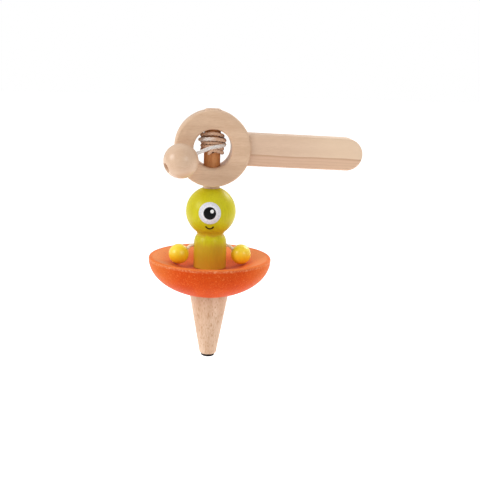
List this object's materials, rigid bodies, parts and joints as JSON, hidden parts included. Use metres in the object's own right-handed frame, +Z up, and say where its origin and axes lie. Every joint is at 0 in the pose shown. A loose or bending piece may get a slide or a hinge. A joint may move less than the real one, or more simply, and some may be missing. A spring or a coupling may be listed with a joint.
{
  "type": "spinning top",
  "caption": "Wooden spinning top with a peg figure in a saucer, its stem held in a ring-handled launcher with a wound pull cord and wooden ball.",
  "frame": {"origin": "middle of the handle's front broad face, where a hand or a clamp holds the launcher", "axes": "+Z up, parallel to the top's spin axis; +X from the ring along the handle; -Y out of the ring's open front face, towards the figure's face"},
  "size_m": [0.1024, 0.06, 0.1237],
  "materials": {
    "launcher_wood": "smooth unvarnished hardwood with fine grain",
    "cone_wood": "turned hardwood with upright grain",
    "green_wood": "satin yellow-green stain over wood",
    "orange_wood": "matt orange pressed wood, speckled, paler along the rim",
    "yellow_wood": "glossy yellow paint over a wooden bead",
    "cotton_cord": "cream cotton cord",
    "dark_tack": "blackened steel dome"
  },
  "bodies": {
    "launcher": {"launcher_ring": "launcher_wood", "launcher_handle": "launcher_wood", "handle_dowel": "launcher_wood"},
    "pull": {"pull_ball": "launcher_wood", "pull_knot": "cotton_cord", "pull_cord": "cotton_cord"},
    "winding": {"wound_cord": "cotton_cord"},
    "top": {"stem": "launcher_wood", "figure_peg": "green_wood", "saucer": "orange_wood", "core_dowel": "launcher_wood", "cone": "cone_wood", "tip_tack": "dark_tack", "arm_cord_core": "cotton_cord"},
    "left_arm": {"left_arm_cord": "cotton_cord", "left_hand": "yellow_wood"},
    "right_arm": {"right_arm_cord": "cotton_cord", "right_hand": "yellow_wood"}
  },
  "joints": [
    {"name": "cord_pull", "type": "slide", "parent": "launcher", "child": "pull", "axis": [-0.863, -0.333, -0.38], "range_m": [0, 0.212]},
    {"name": "top_spin", "type": "hinge", "parent": "launcher", "child": "winding", "pos_m": [-0.04598, 0.006, -0.00391], "axis": [0, 0, 1], "continuous": true},
    {"name": "top_release", "type": "slide", "parent": "winding", "child": "top", "axis": [0, 0, -1], "range_m": [0, 0.04]},
    {"name": "left_arm_swing", "type": "hinge", "parent": "top", "child": "left_arm", "pos_m": [-0.05403, 0.006, -0.04671], "axis": [0, 1, 0], "range_deg": [0, 70]},
    {"name": "right_arm_swing", "type": "hinge", "parent": "top", "child": "right_arm", "pos_m": [-0.03793, 0.006, -0.04671], "axis": [0, -1, 0], "range_deg": [0, 70]}
  ],
  "couplings": [
    {"joint": "top_spin", "follows": "cord_pull", "rad_per_m": -190}
  ]
}
